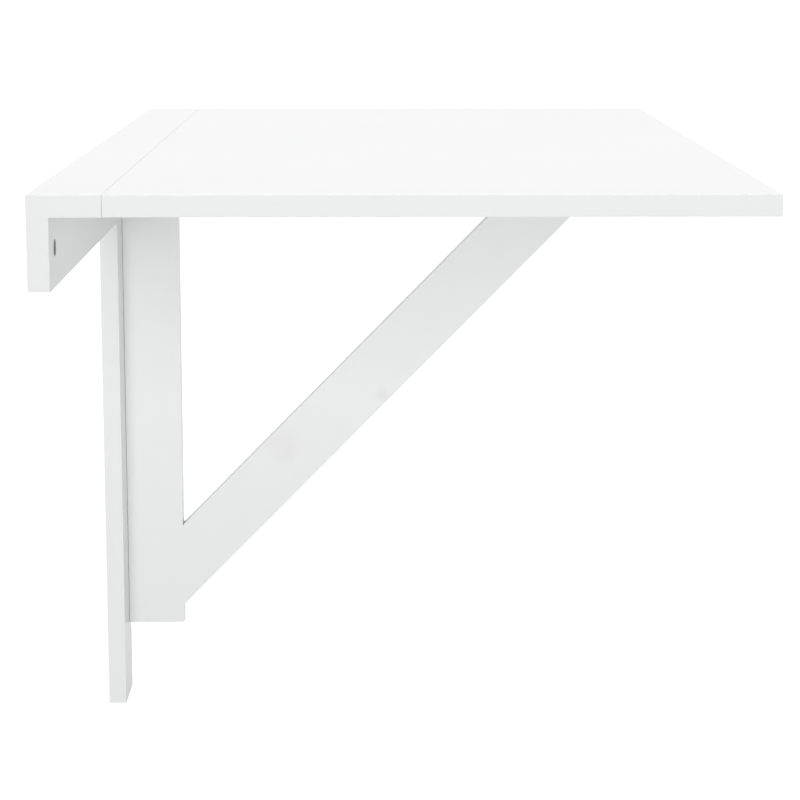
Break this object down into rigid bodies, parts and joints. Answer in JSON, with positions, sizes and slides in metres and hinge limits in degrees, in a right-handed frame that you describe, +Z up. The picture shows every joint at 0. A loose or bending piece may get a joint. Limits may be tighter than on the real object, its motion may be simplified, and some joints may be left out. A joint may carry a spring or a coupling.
{
  "type": "wall-mounted drop-leaf table",
  "caption": "White wall-mounted drop-leaf table: a leaf hinged to a fixed strip and wall rail, held up by a triangular gate that swings out from a wall post.",
  "frame": {"origin": "on the wall plane, halfway along the table, on the line of the wall rail's two screw holes (28 mm below the rail's top edge)", "axes": "+X out of the wall towards the sitter, +Y along the wall, +Z up"},
  "size_m": [0.6, 1, 0.578],
  "materials": {
    "white_lacquer": "white satin lacquer on 18 mm board",
    "beech_dowel": "raw fluted beech",
    "zinc_casting": "die-cast zinc, as cast",
    "zinc_plated_steel": "bright zinc plate",
    "hinge_steel": "white powder-coated steel",
    "nylon": "moulded white nylon"
  },
  "bodies": {
    "wall_frame": {"wall_rail": "white_lacquer", "fixed_strip": "white_lacquer", "wall_post": "white_lacquer", "strip_dowels": "beech_dowel", "post_dowels": "beech_dowel", "strip_cams": "zinc_casting", "strip_cam_bolts": "zinc_plated_steel", "leaf_hinge_strip_plates": "hinge_steel", "leaf_hinge_strip_screws": "zinc_plated_steel", "leaf_hinge_pins": "zinc_plated_steel", "gate_hinge_post_plates": "hinge_steel", "gate_hinge_post_screws": "zinc_plated_steel", "gate_hinge_pins": "zinc_plated_steel"},
    "leaf": {"leaf_panel": "white_lacquer", "leaf_hinge_leaf_plates": "hinge_steel", "leaf_hinge_leaf_screws": "zinc_plated_steel"},
    "gate": {"gate_stile": "white_lacquer", "gate_top_rail": "white_lacquer", "gate_brace": "white_lacquer", "gate_glide": "nylon", "gate_dowels": "beech_dowel", "gate_cams": "zinc_casting", "gate_cam_bolts": "zinc_plated_steel", "gate_hinge_gate_plates": "hinge_steel", "gate_hinge_gate_screws": "zinc_plated_steel"}
  },
  "joints": [
    {"name": "leaf_fold", "type": "hinge", "parent": "wall_frame", "child": "leaf", "pos_m": [0.06012, 0, 0.025], "axis": [0, 1, 0], "range_deg": [-0.6, 0]},
    {"name": "gate_swing", "type": "hinge", "parent": "wall_frame", "child": "gate", "pos_m": [0.01815, 0.033, 0], "axis": [0, 0, 1], "range_deg": [0, 90]}
  ]
}
